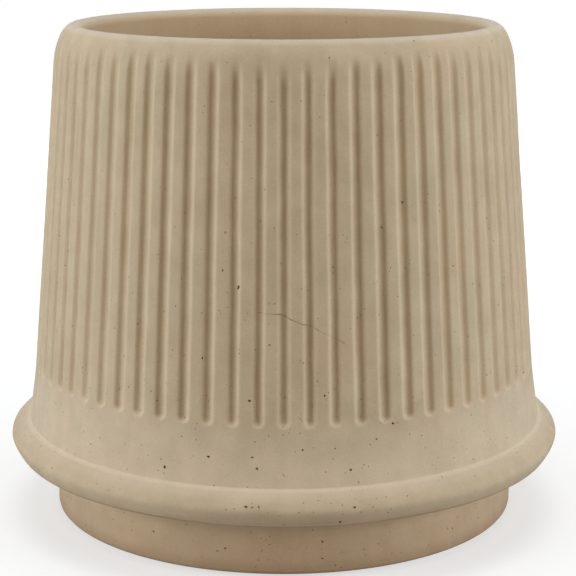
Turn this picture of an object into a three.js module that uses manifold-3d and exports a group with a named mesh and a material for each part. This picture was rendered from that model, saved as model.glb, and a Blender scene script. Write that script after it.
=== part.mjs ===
// Fluted garden pot, cast in one piece, with a lift-out drain plug and stick-on foot pads.
// Millimetres, +Z up. The origin is on the ground, on the axis of the pot.
// In the pot's own profile, radius comes first and height is measured from the foot's bottom.

import * as THREE from 'three';
import { mergeVertices } from 'three/addons/utils/BufferGeometryUtils.js';
import Module from 'manifold-3d';

// Foot: upright wall with a rounded bottom edge and a small cove under the ring
const FOOT_HEIGHT = 30.6;
const FOOT_WALL = 19;
const FOOT_EDGE_ROUND = 1.2;
const FOOT_COVE = 3;

// Ring round the base: how far its nose stands out from the foot and from the crease above it,
// and a flank below the nose that draws in to a soft lower edge
const RING_OVERHANG = 22.8;
const RING_EDGE_ROUND = 2;
const RING_FLANK_HEIGHT = 5.8;
const RING_FLANK_DRAW = 2.6;
const RING_NOSE_ROUND = 1.5;
const RING_TOP_RISE = 8.5;
const RING_REACH = 9.3;

// Wall: a straight taper, with a plain band below it that flares down to the crease
const WALL_TAPER = THREE.MathUtils.degToRad(4.95);
const WALL_THICKNESS = 13;
const BAND_RADIUS = 127.4;
const BAND_FLARE = 1.55;
const BAND_HEIGHT = 22.8;

// Rim: soft shoulder outside, tighter round inside
const POT_HEIGHT = 244.2;
const SHOULDER_HEIGHT = 19;
const RIM_INNER_ROUND = 4.5;

// Floor, with a shallow hollow under it inside the foot
const FLOOR_THICKNESS = 18;
const FLOOR_CORNER_ROUND = 34;
const RECESS_DEPTH = 8;
const RECESS_DRAFT = 1;

// Flutes: round-bottomed grooves that run out through the shoulder
const FLUTE_COUNT = 68;
const FLUTE_WIDTH = 6.9;
const FLUTE_DEPTH = 2.1;
const FLUTE_END_RISE = 2.4;

// Drain hole with a slight casting taper, and the plug that stands in it
const DRAIN_RADIUS = 12;
const DRAIN_TAPER = 1;
const PLUG_FIT_GAP = 0.3;
const PLUG_SEAT_GAP = 0.3;
const PLUG_HEAD_OVERLAP = 6;
const PLUG_HEAD_HEIGHT = 4;
const PLUG_HEAD_ROUND = 1.5;
const PLUG_TIP_CHAMFER = 1.5;
const PLUG_TIP_STICKOUT = 1;
const PLUG_TAB_WIDTH = 15;
const PLUG_TAB_HEIGHT = 13;
const PLUG_TAB_THICKNESS = 4;
const PLUG_TAB_WAIST = 2;
const PLUG_TAB_BEVEL = 0.8;

// Foot pads: rubber discs on an adhesive film, set in near the hollow's edge
const PAD_COUNT = 4;
const PAD_RADIUS = 6;
const PAD_THICKNESS = 1.7;
const PAD_EDGE_ROUND = 0.5;
const PAD_INSET = 1;
const ADHESIVE_FILM = 0.3;

// Facets: chords on each round of a profile, and sides of each turned piece.
// The pot takes one side to each flute.
const POT_ROUND_STEPS = 4;
const FLUTE_ROUND_STEPS = 2;
const FLUTE_SIDES = 16;
const PLUG_ROUND_STEPS = 3;
const PLUG_SIDES = 32;
const PAD_ROUND_STEPS = 2;
const PAD_SIDES = 24;
const TAB_ROUND_STEPS = 6;

// Corners closer than this are one corner
const MERGE_DISTANCE = 1e-4;

const wasm = await Module();
wasm.setup();

// Closed solid for joining and cutting: shared corners merged, collapsed facets at a pole dropped
function toSolid(geometry) {
  const bare = geometry.clone();
  bare.deleteAttribute('normal');
  bare.deleteAttribute('uv');
  const merged = mergeVertices(bare, MERGE_DISTANCE);
  const triangles = [];
  for (let i = 0; i < merged.index.count; i += 3) {
    const [a, b, c] = [0, 1, 2].map((k) => merged.index.getX(i + k));
    if (a !== b && b !== c && c !== a) triangles.push(a, b, c);
  }
  return new wasm.Manifold(new wasm.Mesh({
    numProp: 3,
    vertProperties: new Float32Array(merged.attributes.position.array),
    triVerts: new Uint32Array(triangles),
  }));
}

function toGeometry(solid) {
  const mesh = solid.getMesh();
  const geometry = new THREE.BufferGeometry();
  geometry.setAttribute('position', new THREE.BufferAttribute(new Float32Array(mesh.vertProperties), 3));
  geometry.setIndex(new THREE.BufferAttribute(new Uint32Array(mesh.triVerts), 1));
  geometry.computeVertexNormals();
  return geometry;
}

// Turned solid: the profile runs anticlockwise seen with radius to the right and height up
function turned(profile, sides, roundSteps) {
  const corners = profile.curves.flatMap((curve) => curve.getPoints(curve.isLineCurve ? 1 : roundSteps));
  const apart = (point, i) => i === 0 || point.distanceTo(corners[i - 1]) > MERGE_DISTANCE;
  return new THREE.LatheGeometry(corners.filter(apart), sides).rotateX(Math.PI / 2);
}

// Heights and radii that follow from the sizes above, heights from the foot's bottom
const TAPER = Math.tan(WALL_TAPER);
const flankTopZ = FOOT_HEIGHT + RING_FLANK_HEIGHT;
const noseZ = flankTopZ + RING_NOSE_ROUND;
const creaseZ = noseZ + RING_TOP_RISE;
const bandTopZ = creaseZ + BAND_HEIGHT;
const fluteEndZ = bandTopZ + FLUTE_END_RISE;
const shoulderZ = POT_HEIGHT - SHOULDER_HEIGHT;
const lipZ = POT_HEIGHT - RIM_INNER_ROUND;
const floorZ = RECESS_DEPTH + FLOOR_THICKNESS;
const footLift = PAD_THICKNESS + ADHESIVE_FILM;

const wallRadius = (z) => BAND_RADIUS - (z - bandTopZ) * TAPER;
const innerRadius = (z) => wallRadius(z) - WALL_THICKNESS;
const drainRadius = (z) => DRAIN_RADIUS - DRAIN_TAPER * (floorZ - z) / FLOOR_THICKNESS;
const crownRadius = innerRadius(lipZ) + RIM_INNER_ROUND;
const creaseRadius = wallRadius(creaseZ) + BAND_FLARE;
const ringRadius = creaseRadius + RING_REACH;
const footRadius = ringRadius - RING_OVERHANG;
const recessRadius = footRadius - FOOT_WALL;

// Outside of the pot, from the bottom of the foot up to the crown of the rim
function outerProfile(path) {
  const footEdgeRadius = footRadius - FOOT_EDGE_ROUND;
  path.absarc(footEdgeRadius, FOOT_EDGE_ROUND, FOOT_EDGE_ROUND, -Math.PI / 2, 0, false);
  path.absarc(footRadius + FOOT_COVE, FOOT_HEIGHT - FOOT_COVE, FOOT_COVE, Math.PI, Math.PI / 2, true);
  // Ring: lower edge, flank and nose, then over the nose to a gentle slope up into the crease
  const edgeRadius = ringRadius - RING_FLANK_DRAW;
  const edgeShare = RING_EDGE_ROUND / Math.hypot(RING_FLANK_DRAW, RING_FLANK_HEIGHT);
  path.lineTo(edgeRadius - RING_EDGE_ROUND, FOOT_HEIGHT);
  path.quadraticCurveTo(
    edgeRadius, FOOT_HEIGHT,
    edgeRadius + edgeShare * RING_FLANK_DRAW, FOOT_HEIGHT + edgeShare * RING_FLANK_HEIGHT,
  );
  path.quadraticCurveTo(ringRadius, flankTopZ, ringRadius, noseZ);
  path.bezierCurveTo(
    ringRadius, noseZ + 0.35 * RING_TOP_RISE,
    creaseRadius + 0.7 * RING_REACH, creaseZ - 0.31 * RING_TOP_RISE,
    creaseRadius, creaseZ,
  );
  path.lineTo(BAND_RADIUS, bandTopZ);
  path.lineTo(wallRadius(shoulderZ), shoulderZ);
  // Shoulder: follows the wall at first, then rolls over level to the crown
  const rollZ = shoulderZ + 0.32 * SHOULDER_HEIGHT;
  const rollRadius = (crownRadius + wallRadius(shoulderZ)) / 2;
  path.bezierCurveTo(wallRadius(rollZ), rollZ, rollRadius, POT_HEIGHT, crownRadius, POT_HEIGHT);
}

// Inside of the pot: lip, wall parallel to the outside, floor, drain hole and the hollow of the foot
function innerProfile(path) {
  const cornerTopZ = floorZ + FLOOR_CORNER_ROUND;
  path.absarc(crownRadius, lipZ, RIM_INNER_ROUND, Math.PI / 2, Math.PI, false);
  path.lineTo(innerRadius(cornerTopZ), cornerTopZ);
  path.quadraticCurveTo(innerRadius(floorZ), floorZ, innerRadius(floorZ) - FLOOR_CORNER_ROUND, floorZ);
  path.lineTo(drainRadius(floorZ), floorZ);
  path.lineTo(drainRadius(RECESS_DEPTH), RECESS_DEPTH);
  path.lineTo(recessRadius - RECESS_DRAFT, RECESS_DEPTH);
  path.lineTo(recessRadius, 0);
  path.lineTo(footRadius - FOOT_EDGE_ROUND, 0);
}

// One flute cutter: a round rod lying along the wall, ball-ended below and running out above
function fluteCutter() {
  const rodRadius = (FLUTE_DEPTH ** 2 + (FLUTE_WIDTH / 2) ** 2) / (2 * FLUTE_DEPTH);
  const length = POT_HEIGHT - fluteEndZ;
  const rod = new THREE.Path();
  rod.absarc(0, rodRadius, rodRadius, -Math.PI / 2, 0, false);
  rod.lineTo(rodRadius, length);
  rod.lineTo(0, length);
  return turned(rod, FLUTE_SIDES, FLUTE_ROUND_STEPS)
    .rotateZ(Math.PI / FLUTE_SIDES)
    .rotateY(-WALL_TAPER)
    .translate(wallRadius(fluteEndZ) - FLUTE_DEPTH + rodRadius, 0, fluteEndZ);
}

// Pot body: turned from one closed profile, with the flutes cut all round
function potBody() {
  const profile = new THREE.Path();
  outerProfile(profile);
  innerProfile(profile);
  const pitch = 2 * Math.PI / FLUTE_COUNT;
  let body = toSolid(turned(profile, FLUTE_COUNT, POT_ROUND_STEPS).rotateZ(pitch / 2));
  const cutter = fluteCutter();
  for (let i = 0; i < FLUTE_COUNT; i += 1) {
    const place = cutter.clone().rotateZ(-Math.PI / 2 + i * pitch);
    body = body.subtract(toSolid(place));
  }
  return toGeometry(body);
}

// Drain plug: tapered stem with a chamfered tip, and a wide head that rests on the floor
function plugStopper(headZ, headTopZ) {
  const headRadius = drainRadius(floorZ) + PLUG_HEAD_OVERLAP;
  const tipZ = RECESS_DEPTH - PLUG_TIP_STICKOUT;
  const stemRadius = (z) => drainRadius(z) - PLUG_FIT_GAP;
  const profile = new THREE.Path();
  profile.moveTo(0, tipZ);
  profile.lineTo(stemRadius(tipZ) - PLUG_TIP_CHAMFER, tipZ);
  profile.lineTo(stemRadius(tipZ + PLUG_TIP_CHAMFER), tipZ + PLUG_TIP_CHAMFER);
  profile.lineTo(stemRadius(headZ), headZ);
  profile.lineTo(headRadius, headZ);
  profile.absarc(headRadius - PLUG_HEAD_ROUND, headTopZ - PLUG_HEAD_ROUND, PLUG_HEAD_ROUND,
    0, Math.PI / 2, false);
  profile.lineTo(0, headTopZ);
  return turned(profile, PLUG_SIDES, PLUG_ROUND_STEPS);
}

// Pull tab: upright tongue with a round top, drawn in at its root, standing across the head
function plugTab(rootZ) {
  const half = PLUG_TAB_WIDTH / 2 - PLUG_TAB_BEVEL;
  const waist = half - PLUG_TAB_WAIST;
  const roundZ = PLUG_TAB_HEIGHT - PLUG_TAB_BEVEL - half;
  const tongue = new THREE.Shape();
  tongue.moveTo(-waist, -PLUG_TAB_BEVEL);
  tongue.lineTo(waist, -PLUG_TAB_BEVEL);
  tongue.lineTo(half, roundZ);
  tongue.absarc(0, roundZ, half, 0, Math.PI, false);
  tongue.closePath();
  return new THREE.ExtrudeGeometry(tongue, {
    depth: PLUG_TAB_THICKNESS - 2 * PLUG_TAB_BEVEL,
    bevelSize: PLUG_TAB_BEVEL,
    bevelThickness: PLUG_TAB_BEVEL,
    bevelSegments: 1,
    curveSegments: TAB_ROUND_STEPS,
  })
    .rotateX(Math.PI / 2)
    .translate(0, PLUG_TAB_THICKNESS / 2 - PLUG_TAB_BEVEL, rootZ);
}

function drainPlug() {
  const headZ = floorZ + PLUG_SEAT_GAP;
  const headTopZ = headZ + PLUG_HEAD_HEIGHT;
  return toGeometry(toSolid(plugStopper(headZ, headTopZ)).add(toSolid(plugTab(headTopZ))));
}

// Foot pad: flat disc with softened edges, standing on the ground
function footPad() {
  const profile = new THREE.Path();
  profile.moveTo(0, 0);
  profile.lineTo(PAD_RADIUS - PAD_EDGE_ROUND, 0);
  profile.absarc(PAD_RADIUS - PAD_EDGE_ROUND, PAD_EDGE_ROUND, PAD_EDGE_ROUND, -Math.PI / 2, 0, false);
  profile.lineTo(PAD_RADIUS, PAD_THICKNESS);
  profile.lineTo(0, PAD_THICKNESS);
  return toGeometry(toSolid(turned(profile, PAD_SIDES, PAD_ROUND_STEPS)));
}

const castCement = new THREE.MeshStandardMaterial({ color: '#b9a786', roughness: 0.85, metalness: 0 });
const plugRubber = new THREE.MeshStandardMaterial({ color: '#3a3935', roughness: 0.7, metalness: 0 });
const padRubber = new THREE.MeshStandardMaterial({ color: '#4a4743', roughness: 0.8, metalness: 0 });

function piece(name, geometry, material) {
  const mesh = new THREE.Mesh(geometry, material);
  mesh.name = name;
  return mesh;
}

const pot = new THREE.Group();
const castParts = new THREE.Group();
castParts.position.z = footLift;
castParts.add(piece('pot_body', potBody(), castCement));
castParts.add(piece('drain_plug', drainPlug(), plugRubber));
pot.add(castParts);

const padRingRadius = recessRadius + PAD_INSET + PAD_RADIUS;
for (let i = 0; i < PAD_COUNT; i += 1) {
  const angle = 2 * Math.PI * (i + 0.5) / PAD_COUNT;
  const pad = piece(`foot_pad_${i + 1}`, footPad(), padRubber);
  pad.position.set(padRingRadius * Math.cos(angle), padRingRadius * Math.sin(angle), 0);
  pot.add(pad);
}

export default pot;
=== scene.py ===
import math

import bmesh
import bpy
from mathutils import Matrix, Vector
from mathutils.geometry import interpolate_bezier


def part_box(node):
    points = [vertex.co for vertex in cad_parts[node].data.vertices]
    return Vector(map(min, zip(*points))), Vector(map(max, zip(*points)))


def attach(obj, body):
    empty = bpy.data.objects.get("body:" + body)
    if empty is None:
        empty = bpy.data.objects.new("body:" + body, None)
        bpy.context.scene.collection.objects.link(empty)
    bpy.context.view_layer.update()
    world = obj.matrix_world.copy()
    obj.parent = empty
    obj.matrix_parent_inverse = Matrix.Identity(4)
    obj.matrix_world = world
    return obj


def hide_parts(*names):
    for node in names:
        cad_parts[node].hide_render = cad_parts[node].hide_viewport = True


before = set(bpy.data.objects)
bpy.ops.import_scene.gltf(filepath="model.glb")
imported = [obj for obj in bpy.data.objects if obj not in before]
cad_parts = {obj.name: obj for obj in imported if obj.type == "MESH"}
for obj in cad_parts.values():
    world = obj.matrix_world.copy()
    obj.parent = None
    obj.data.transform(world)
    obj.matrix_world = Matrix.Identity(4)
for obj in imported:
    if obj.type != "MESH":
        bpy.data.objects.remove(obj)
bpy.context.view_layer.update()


# Pot body
# One thick casting in sand-coloured cement: foot, ring, plain band, fluted wall and rolled rim.
# It comes out of a mould, so one turned outline rules the whole piece, and the flutes are ribs
# of the mould that stop in round ends above the band and run out through the shoulder.

MM = 0.001
FLUTE_COUNT = 68
FLUTE_PITCH = 2 * math.pi / FLUTE_COUNT

# Heights are in mm above the underside of the foot. The frame's ring has one flat to each flute.
pot_low, pot_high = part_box("pot_body")
foot_lift = pot_low.z / MM
pot_height = (pot_high.z - pot_low.z) / MM
ring_radius = pot_high.x / MM / math.cos(FLUTE_PITCH / 2)

foot_radius = ring_radius - 22.8
foot_height = 30.6
recess_radius = foot_radius - 19.0
recess_height = 8.0
edge_radius = ring_radius - 3.5
flank_top = foot_height + 6.1
nose_height = flank_top + 1.5
ring_fall = 9.3
ring_rise = 8.2
crease_radius = ring_radius - ring_fall
crease_height = nose_height + ring_rise
band_top = crease_height + 22.8
band_radius = 127.4
flute_end = band_top + 3.2
shoulder_height = pot_height - 19.0
lip_round = 4.5
lip_height = pot_height - lip_round
floor_height = 26.0
wall_thickness = 13.0
wall_taper = math.tan(math.radians(4.95))
drain_radius = 12.0


def wall_radius(height):
    """Radius of the tapering wall, on the lands between the flutes."""
    return band_radius - (height - band_top) * wall_taper


def bend(start, lead, reach, end, steps):
    """Points of the outline along one smooth bend, up to its end but without it."""
    curve = interpolate_bezier(Vector(start), Vector(lead), Vector(reach), Vector(end), steps + 1)
    return [tuple(point) for point in curve[:-1]]


QUARTER_CIRCLE = 0.5523
LOOSE_SWEEP = 2 / 3


def turn(start, corner, end, steps, pull=QUARTER_CIRCLE):
    """The same round one corner, drawn towards it by the pull."""
    a, c, b = Vector(start), Vector(corner), Vector(end)
    return bend(start, a.lerp(c, pull), b.lerp(c, pull), end, steps)


crown_radius = wall_radius(lip_height) - wall_thickness + lip_round
lip_radius = crown_radius - lip_round
inner_foot = wall_radius(floor_height) - wall_thickness
fillet = 34.0
roll_height = shoulder_height + 0.5 * (pot_height - shoulder_height)
roll_radius = (crown_radius + wall_radius(shoulder_height)) / 2

# Rows of points lie close where the flutes end, and far apart up the straight wall
END_ROW = 0.55
WALL_ROW = 11

# The outline as (radius, height), from the inner edge of the foot round the outside to the rim,
# down the inside, through the drain hole and back under the floor
pot_outline = [
    *turn((recess_radius - 0.1, 0.8), (recess_radius, 0), (recess_radius + 0.8, 0), 2),
    (recess_radius + 0.8, 0),
    *turn((foot_radius - 1.6, 0), (foot_radius, 0), (foot_radius, 2.0), 3),
    (foot_radius, 2.0),
    *turn((foot_radius, foot_height - 3), (foot_radius, foot_height), (foot_radius + 3, foot_height), 3),
    (foot_radius + 3, foot_height),
    *turn(
        (edge_radius - 1.5, foot_height), (edge_radius, foot_height),
        (edge_radius + 0.6, foot_height + 1.4), 3,
    ),
    *turn(
        (edge_radius + 0.6, foot_height + 1.4), (ring_radius, flank_top),
        (ring_radius, nose_height), 4, LOOSE_SWEEP,
    ),
    *bend(
        (ring_radius, nose_height),
        (ring_radius, nose_height + 0.35 * ring_rise),
        (crease_radius + 0.7 * ring_fall, crease_height - 0.31 * ring_rise),
        (crease_radius + 0.15, crease_height - 0.05),
        8,
    ),
    (crease_radius + 0.15, crease_height - 0.05),
    (crease_radius - 0.05, crease_height + 0.1),
    *turn(
        (band_radius + 0.2 * (crease_radius - band_radius), band_top - 0.2 * (band_top - crease_height)),
        (band_radius, band_top),
        (wall_radius(band_top + 3), band_top + 3),
        4,
        LOOSE_SWEEP,
    ),
    *((wall_radius(h), h) for h in (flute_end + END_ROW * row for row in range(9))),
    *((wall_radius(h), h) for h in range(86, int(shoulder_height) - 5, WALL_ROW)),
    *bend(
        (wall_radius(shoulder_height), shoulder_height),
        (wall_radius(roll_height), roll_height),
        (roll_radius, pot_height),
        (crown_radius, pot_height),
        12,
    ),
    *turn((crown_radius, pot_height), (lip_radius, pot_height), (lip_radius, lip_height), 5),
    (lip_radius, lip_height),
    (wall_radius(150) - wall_thickness, 150),
    *turn(
        (wall_radius(floor_height + fillet) - wall_thickness, floor_height + fillet),
        (inner_foot, floor_height),
        (inner_foot - fillet, floor_height),
        5,
        LOOSE_SWEEP,
    ),
    (inner_foot - fillet, floor_height),
    *turn(
        (drain_radius + 1, floor_height), (drain_radius, floor_height),
        (drain_radius, floor_height - 1), 2,
    ),
    (drain_radius, floor_height - 1),
    *turn(
        (drain_radius - 1, recess_height + 1), (drain_radius - 1, recess_height),
        (drain_radius, recess_height), 2,
    ),
    (drain_radius, recess_height),
    *turn(
        (recess_radius - 4, recess_height), (recess_radius - 1, recess_height),
        (recess_radius - 0.6, 5), 3,
    ),
    (recess_radius - 0.6, 5),
]


def wire(name, points, closed):
    """A line of edges through (radius, height) points in mm, standing above the ground on its foot."""
    mesh = bpy.data.meshes.new(name)
    count = len(points)
    edges = [(i, (i + 1) % count) for i in range(count if closed else count - 1)]
    mesh.from_pydata([(r * MM, 0, (h + foot_lift) * MM) for r, h in points], edges, [])
    return mesh


def put(name, data):
    """A new object at the origin, in the scene."""
    made = bpy.data.objects.new(name, data)
    bpy.context.collection.objects.link(made)
    return made


def plain_mesh(made):
    """The plain mesh that an object's curve or modifiers make."""
    evaluated = made.evaluated_get(bpy.context.evaluated_depsgraph_get())
    return bpy.data.meshes.new_from_object(evaluated)


def add_node(tree, kind, feeds=(), out=0, **settings):
    """Adds one node with its settings, gives each input a value or another node's output, and
    returns one of its own outputs, or the node itself if out is None."""
    node = tree.nodes.new(kind)
    for name, value in settings.items():
        setattr(node, name, value)
    for key, value in feeds.items() if isinstance(feeds, dict) else enumerate(feeds):
        if isinstance(value, bpy.types.NodeSocket):
            tree.links.new(value, node.inputs[key])
        else:
            node.inputs[key].default_value = value
    return node if out is None else node.outputs[out]


def bare_tree(owner):
    """The emptied node tree of a new material or world."""
    owner.use_nodes = True
    owner.node_tree.nodes.clear()
    return owner.node_tree


def linear(hex_colour):
    """An sRGB hex value as the linear colour that a shader takes."""
    parts = [int(hex_colour[i:i + 2], 16) / 255 for i in (1, 3, 5)]
    return [p / 12.92 if p <= 0.04045 else ((p + 0.055) / 1.055) ** 2.4 for p in parts] + [1.0]


# Cast cement with fine sand, straight from the mould and unsealed: dead matt, a soft cloudy
# beige, a fine sandy tooth, small dark air holes and one hairline across the front.
# The sizes of its patterns are in mm. The sand is drawn coarser than it is, so that it shows.
CLOUD_SIZE = 13.0
BLUSH_SIZE = 34.0
SAND_SIZE = 0.9
UPRIGHT_SIZE = 8.0
HOLE_SPACING = 6.0
HOLE_SMALLEST, HOLE_LARGEST = 0.12, 0.55
HOLE_EDGE = 0.2
SPECK_SPACING = 2.6
SPECK_CORE, SPECK_EDGE = 0.16, 0.42
SPECK_PATCH = 24.0
WOBBLE_SIZE = 1.0
WOBBLE_REACH = 1.6
STREAK_SIZE = 9.0
BREAK_SIZE = 4.0

cement = bpy.data.materials.new("cast_sand_cement")
look = bare_tree(cement)
place = add_node(look, "ShaderNodeTexCoord", out="Object")
axes = add_node(look, "ShaderNodeSeparateXYZ", (place,), out=None).outputs
height = axes["Z"]
flat_place = add_node(look, "ShaderNodeCombineXYZ", (axes["X"], axes["Y"]))
from_axis = add_node(look, "ShaderNodeVectorMath", (flat_place,), out="Value", operation="LENGTH")

# Clouds of lighter and darker cement, and here and there a warmer blush
clouds, blush, sand = (
    add_node(look, "ShaderNodeTexNoise", {
        "Vector": place, "Scale": 1 / (size * MM), "Detail": detail, "Roughness": roughness,
    })
    for size, detail, roughness in ((CLOUD_SIZE, 3.0, 0.55), (BLUSH_SIZE, 2.0, 0.5), (SAND_SIZE, 2.0, 0.6))
)
cloud_share = add_node(look, "ShaderNodeMapRange", {"Value": clouds, "From Min": 0.35, "From Max": 0.65})
coat = add_node(
    look, "ShaderNodeMix", {0: cloud_share, 6: linear("#BAA98D"), 7: linear("#C4B397")},
    out=2, data_type="RGBA",
)
blush_share = add_node(
    look, "ShaderNodeMapRange", {"Value": blush, "From Min": 0.5, "From Max": 0.72, "To Max": 0.3},
)

# The flute arrises are painted paler as a painted highlight, and their bottoms darker as painted shade
arris = add_node(look, "ShaderNodeAttribute", out="Fac", attribute_name="arris")
arris_highlight_share = add_node(look, "ShaderNodeMath", (arris, 0.35), operation="MULTIPLY")
# Painted shade in the bottoms of the flutes
bottom = add_node(look, "ShaderNodeAttribute", out="Fac", attribute_name="flute_bottom")
flute_bottom_shade = add_node(look, "ShaderNodeMath", (bottom, 0.06), operation="MULTIPLY")

# What goes by height, each between two heights and from one share to another. The foot and the
# ring's lower flank are tinted browner and darker, partly a damp tint and partly painted shade; the
# bottom of the foot is darker, painted shade near the ground; the top of the ring, and less of the
# band, is painted paler as painted light from above; painted shade darkens the cove under the ring;
# and the top of the rim is painted paler as a painted highlight.
by_height = {}
for label, low, high, start, end in (
    # painted shade, with a damp tint, on the foot and the ring's lower flank
    ("damp", foot_height - 1, flank_top, 0.34, 0.0),
    # painted shade at the bottom of the foot, near the ground
    ("splash", 0, 9, 0.4, 0.0),
    # painted light on the top of the ring, less of it on the band and none on the wall
    ("settled", nose_height + 3, crease_height, 0.0, 0.5),
    ("less on the band", crease_height, crease_height + 0.5, 0.0, 0.28),
    ("none on the wall", band_top - 4, flute_end + 8, 0.0, 0.22),
    # painted shade in the cove under the ring, stopped above it on the flank
    ("dirt", foot_height - 4.5, foot_height - 1.0, 0.0, 0.5),
    ("clean flank", foot_height + 0.5, foot_height + 1.7, 1.0, 0.0),
    # painted highlight on the top of the rim
    ("rubbed rim", pot_height - 3.0, pot_height - 0.5, 0.0, 0.4),
):
    by_height[label] = add_node(
        look, "ShaderNodeMapRange",
        {
            "Value": height,
            "From Min": (foot_lift + low) * MM,
            "From Max": (foot_lift + high) * MM,
            "To Min": start,
            "To Max": end,
        },
        interpolation_type="SMOOTHSTEP",
    )
painted_top_light = by_height["settled"]
for label in ("less on the band", "none on the wall"):
    painted_top_light = add_node(
        look, "ShaderNodeMath", (painted_top_light, by_height[label]), operation="SUBTRACT",
    )
# Painted shade under the ring
cove_shade_share = add_node(
    look, "ShaderNodeMath", (by_height["dirt"], by_height["clean flank"]), operation="MULTIPLY",
)

# The ring's lower edge has a thin painted highlight at the front, and the crease above it one all round
EDGE_CORE = 0.3
EDGE_REACH = 0.9
at_front = add_node(
    look, "ShaderNodeMapRange",
    {
        "Value": axes["Y"],
        "From Min": 2 * MM - edge_radius * MM,
        "From Max": 10 * MM - edge_radius * MM,
        "To Min": 0.5,
        "To Max": 0.0,
    },
)
edge_highlights = []
for level, reach, highlight_strength in (
    (foot_height + 0.8, edge_radius - 1.2, at_front),
    (crease_height - 0.2, crease_radius - 0.6, 0.5),
):
    off_edge = add_node(look, "ShaderNodeMath", (height, (foot_lift + level) * MM), operation="SUBTRACT")
    off_edge = add_node(look, "ShaderNodeMath", (off_edge,), operation="ABSOLUTE")
    edge_highlight_share = add_node(
        look, "ShaderNodeMapRange",
        {
            "Value": off_edge,
            "From Min": EDGE_CORE * MM,
            "From Max": EDGE_REACH * MM,
            "To Min": highlight_strength,
            "To Max": 0.0,
        },
    )
    at_edge = add_node(look, "ShaderNodeMath", (from_axis, reach * MM), operation="GREATER_THAN")
    edge_highlights.append(add_node(look, "ShaderNodeMath", (edge_highlight_share, at_edge), operation="MULTIPLY"))

# Inside, soil and water have stained it a warmer tan: behind the wall, and down to the floor
from_cone = add_node(look, "ShaderNodeMath", (height, wall_taper, from_axis), operation="MULTIPLY_ADD")
behind_wall = add_node(
    look, "ShaderNodeMapRange",
    {
        "Value": from_cone,
        "From Min": (wall_radius(-foot_lift) - wall_thickness) * MM,
        "From Max": (wall_radius(-foot_lift) - wall_thickness + 2.5) * MM,
        "To Min": 1.0,
        "To Max": 0.0,
    },
    interpolation_type="SMOOTHSTEP",
)
above_foot = add_node(
    look, "ShaderNodeMath", (height, (foot_lift + floor_height + 10) * MM), operation="GREATER_THAN",
)
near_floor = add_node(
    look, "ShaderNodeMath", (height, (foot_lift + floor_height + 5) * MM, 6 * MM), operation="COMPARE",
)
well_inside = add_node(look, "ShaderNodeMath", (from_axis, (foot_radius - 5) * MM), operation="LESS_THAN")
stained_wall = add_node(look, "ShaderNodeMath", (behind_wall, above_foot), operation="MULTIPLY")
stained_floor = add_node(look, "ShaderNodeMath", (well_inside, near_floor), operation="MULTIPLY")
stain_share = add_node(look, "ShaderNodeMath", (stained_wall, stained_floor), operation="MAXIMUM")

# All of these lie over the clouded cement in this order, the tints and the painted light and shade alike
for share, colour in (
    (blush_share, "#C6AA8F"),
    (arris_highlight_share, "#D5C4A9"),
    (flute_bottom_shade, "#A89579"),
    (by_height["damp"], "#BA9974"),
    (by_height["splash"], "#967759"),
    (painted_top_light, "#DACCB6"),
    (cove_shade_share, "#8E7658"),
    *((edge_highlight_share, "#DCCCB2") for edge_highlight_share in edge_highlights),
    (stain_share, "#CFB999"),
    (by_height["rubbed rim"], "#D6CCBE"),
):
    coat = add_node(look, "ShaderNodeMix", {0: share, 6: coat, 7: linear(colour)}, out=2, data_type="RGBA")

# Grains of sand, and faint upright streaks of tone as the mould was wiped
upright_place = add_node(look, "ShaderNodeVectorMath", (place, (1, 1, 0.12)), operation="MULTIPLY")
upright = add_node(
    look, "ShaderNodeTexNoise", {"Vector": upright_place, "Scale": 1 / (UPRIGHT_SIZE * MM), "Detail": 1.0},
)
sand_light, upright_light = (
    add_node(look, "ShaderNodeMapRange", {
        "Value": tone, "From Min": 0.3, "From Max": 0.7, "To Min": 1 - swing, "To Max": 1 + swing,
    })
    for tone, swing in ((sand, 0.045), (upright, 0.022))
)
grain_light = add_node(look, "ShaderNodeMath", (sand_light, upright_light), operation="MULTIPLY")
sanded = add_node(look, "ShaderNodeHueSaturation", {"Value": grain_light, "Color": coat})

# Scattered air holes, one try to each cell of the cement, most of them under half a millimetre.
# A small wobble of the place makes their edges ragged.
wobble = add_node(
    look, "ShaderNodeTexNoise", {"Vector": place, "Scale": 1 / (WOBBLE_SIZE * MM), "Detail": 3.0},
    out="Color",
)
wobble = add_node(look, "ShaderNodeVectorMath", (wobble, (0.5, 0.5, 0.5)), operation="SUBTRACT")
wobble = add_node(look, "ShaderNodeVectorMath", {0: wobble, "Scale": WOBBLE_REACH * MM}, operation="SCALE")
ragged_place = add_node(look, "ShaderNodeVectorMath", (place, wobble), operation="ADD")
hole_cells, speck_cells = (
    add_node(
        look, "ShaderNodeTexVoronoi", {"Vector": ragged_place, "Scale": 1 / (spacing * MM)}, out=None,
    ).outputs
    for spacing in (HOLE_SPACING, SPECK_SPACING)
)
hole_chance = add_node(look, "ShaderNodeSeparateColor", (hole_cells["Color"],))
hole_rank = add_node(look, "ShaderNodeMath", (hole_chance, 3.0), operation="POWER")
hole_radius = add_node(
    look, "ShaderNodeMapRange",
    {"Value": hole_rank, "To Min": HOLE_SMALLEST / HOLE_SPACING, "To Max": HOLE_LARGEST / HOLE_SPACING},
)
low_growth = add_node(
    look, "ShaderNodeMapRange",
    {"Value": height, "From Min": 70 * MM, "From Max": 190 * MM, "To Min": 1.15, "To Max": 0.6},
)
hole_reach = add_node(look, "ShaderNodeMath", (hole_radius, low_growth), operation="MULTIPLY")
hole_inside = add_node(look, "ShaderNodeMath", (hole_reach, hole_cells["Distance"]), operation="SUBTRACT")
holes = add_node(look, "ShaderNodeMapRange", {"Value": hole_inside, "From Max": HOLE_EDGE / HOLE_SPACING})

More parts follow.
